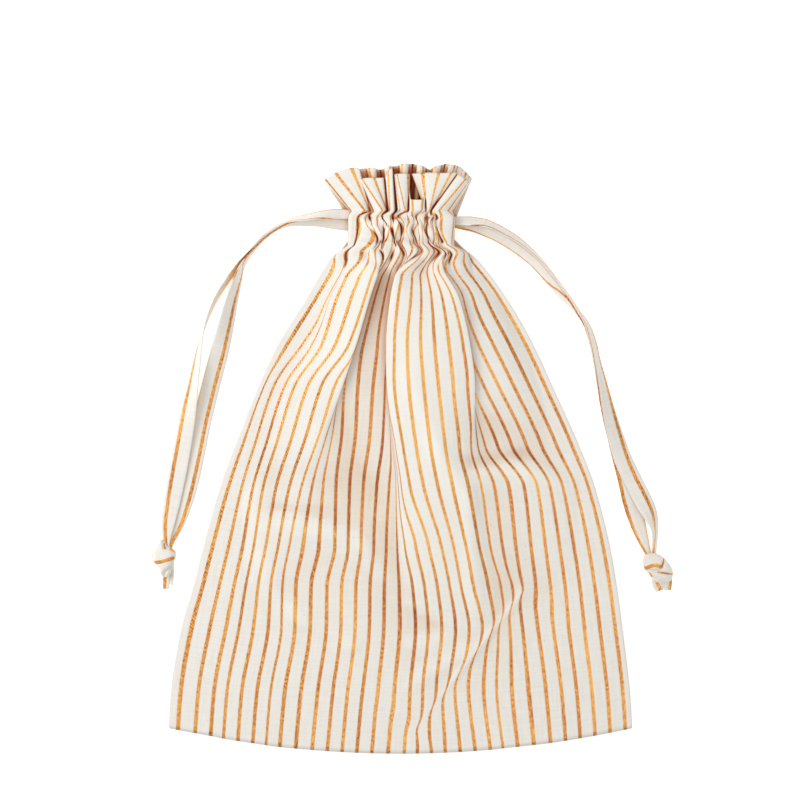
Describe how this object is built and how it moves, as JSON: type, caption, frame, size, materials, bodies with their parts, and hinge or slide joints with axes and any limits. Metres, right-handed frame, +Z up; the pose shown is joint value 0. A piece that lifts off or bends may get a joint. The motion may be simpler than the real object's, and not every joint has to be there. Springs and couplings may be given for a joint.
{
  "type": "drawstring cloth bag",
  "caption": "Striped cotton drawstring bag lying flat, its mouth drawn shut into pleats, with a knotted flat tape pulled out at each side of the neck.",
  "frame": {"origin": "middle of the bag's outline on the surface it lies on, without its ties", "axes": "+Y along the bag from its bottom edge to its mouth, +Z up from the surface to the front panel, +X to the right seen from above"},
  "size_m": [0.3383, 0.3825, 0.0198],
  "materials": {
    "cloth": "matt woven cotton with narrow lengthwise stripes",
    "tape": "matt folded cotton tape with one stripe along its edge"
  },
  "bodies": {
    "root": {"front_panel": "cloth", "back_panel": "cloth", "tie_left_outer": "tape", "tie_left_inner": "tape", "tie_right_outer": "tape", "tie_right_inner": "tape", "tail_left_outer": "tape", "tail_left_inner": "tape", "tail_right_outer": "tape", "tail_right_inner": "tape", "knot_left": "tape", "knot_right": "tape"}
  },
  "joints": []
}
